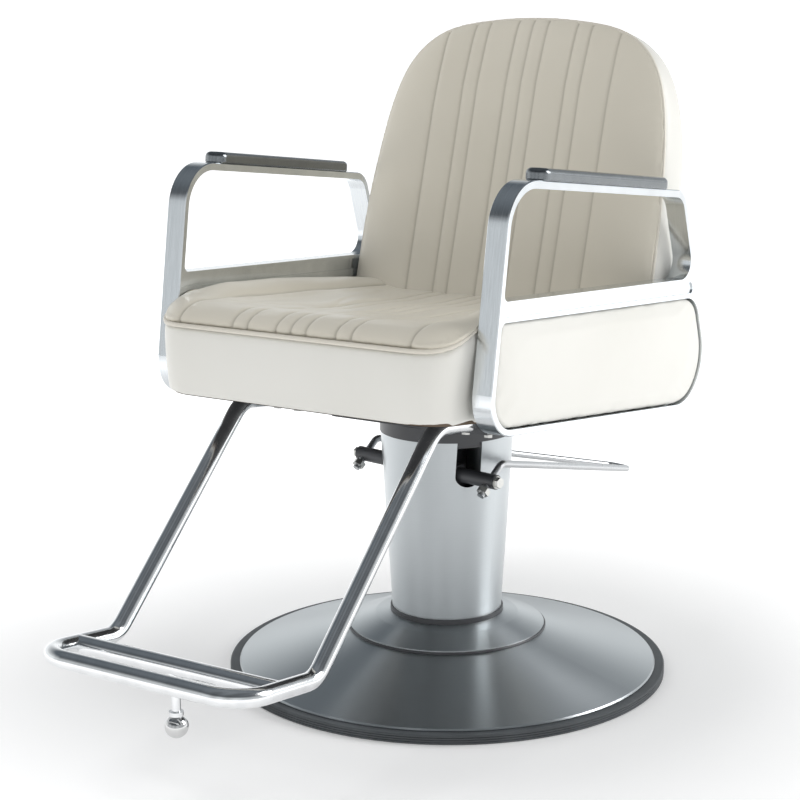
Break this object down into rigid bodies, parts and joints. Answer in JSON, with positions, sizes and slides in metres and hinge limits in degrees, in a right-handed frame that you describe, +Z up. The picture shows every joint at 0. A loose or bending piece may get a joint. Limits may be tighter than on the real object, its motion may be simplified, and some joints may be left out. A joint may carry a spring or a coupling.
{
  "type": "styling chair",
  "caption": "Salon styling chair: padded seat and tall channelled back in looped arms with a tube footrest, swivelling on a pump-lifted column over a round base.",
  "frame": {"origin": "on the floor under the column's axis", "axes": "+Z up along the column, the sitter faces -Y, the sitter's left hand is +X"},
  "size_m": [0.6099, 1.074, 0.8954],
  "materials": {
    "rubber": "ribbed, matt dark grey",
    "dark_paint": "satin dark grey paint",
    "brushed_stainless": "spun and brushed around the axis",
    "satin_steel": "satin ground steel",
    "cast_housing": "machined cast iron",
    "zinc_fastener": "bright zinc plate",
    "plywood": "sanded birch plywood",
    "underlay_cloth": "black non-woven cloth",
    "ivory_vinyl": "smooth satin ivory vinyl over foam",
    "channel_vinyl": "smooth satin cream vinyl, stitched channels over foam",
    "piping_vinyl": "satin vinyl piping",
    "polished_aluminium": "satin polished cast aluminium",
    "arm_pad_plastic": "smooth glossy grey moulding",
    "chrome": "satin chrome plate",
    "ball_steel": "polished steel ball"
  },
  "bodies": {
    "base": {"base_plate": "dark_paint", "base_rim": "rubber", "base_cover": "brushed_stainless", "collar_ring": "dark_paint", "collar": "brushed_stainless", "foot_ring": "dark_paint", "column_cover": "brushed_stainless", "cap_ring": "dark_paint", "reservoir": "cast_housing", "flange_bolts": "zinc_fastener", "pump_head": "cast_housing", "gland": "satin_steel", "plunger_spring": "satin_steel"},
    "lever": {"pedal_shaft": "dark_paint", "pedal_bail": "satin_steel", "bail_nuts": "zinc_fastener", "shaft_bolts": "zinc_fastener"},
    "pump_plunger": {"plunger": "satin_steel"},
    "lift_ram": {"ram": "satin_steel", "ram_piston": "satin_steel", "thrust_washer": "satin_steel", "spindle_nut": "zinc_fastener"},
    "seat": {"hub": "satin_steel", "hub_screws": "zinc_fastener", "seat_plate": "dark_paint", "seat_rails": "dark_paint", "rail_screws": "zinc_fastener", "seat_board": "plywood", "dust_cover": "underlay_cloth", "seat_body": "ivory_vinyl", "seat_pad": "channel_vinyl", "seat_piping": "piping_vinyl", "back_board": "plywood", "back_brackets": "dark_paint", "bracket_screws": "zinc_fastener", "back_pad": "channel_vinyl", "back_shell": "ivory_vinyl", "back_piping": "piping_vinyl", "arm_left": "polished_aluminium", "arm_right": "polished_aluminium", "arm_pad_left": "arm_pad_plastic", "arm_pad_right": "arm_pad_plastic", "arm_pad_screws": "zinc_fastener", "side_panel_left": "ivory_vinyl", "side_panel_right": "ivory_vinyl", "panel_board_left": "plywood", "panel_board_right": "plywood", "arm_bolts": "zinc_fastener", "footrest_frame": "chrome", "footrest_bar": "chrome", "footrest_clamps": "dark_paint", "clamp_screws": "zinc_fastener", "ball_stem": "chrome", "ball": "ball_steel"}
  },
  "joints": [
    {"name": "lift", "type": "slide", "parent": "base", "child": "lift_ram", "axis": [0, 0, 1], "range_m": [0, 0.15]},
    {"name": "swivel", "type": "hinge", "parent": "lift_ram", "child": "seat", "pos_m": [0, 0, 0.372], "axis": [0, 0, 1], "continuous": true},
    {"name": "pedal", "type": "hinge", "parent": "base", "child": "lever", "pos_m": [-0.00747, -0.04235, 0.294], "axis": [-0.9848, 0.1736, 0], "range_deg": [0, 18], "stiffness_Nm_per_rad": 20, "springref_deg": -20.05},
    {"name": "plunge", "type": "slide", "parent": "base", "child": "pump_plunger", "axis": [0, 0, -1], "range_m": [0, 0.0085], "deforming": ["plunger_spring"]}
  ],
  "couplings": [
    {"joint": "plunge", "follows": "pedal", "m_per_rad": 0.024}
  ]
}
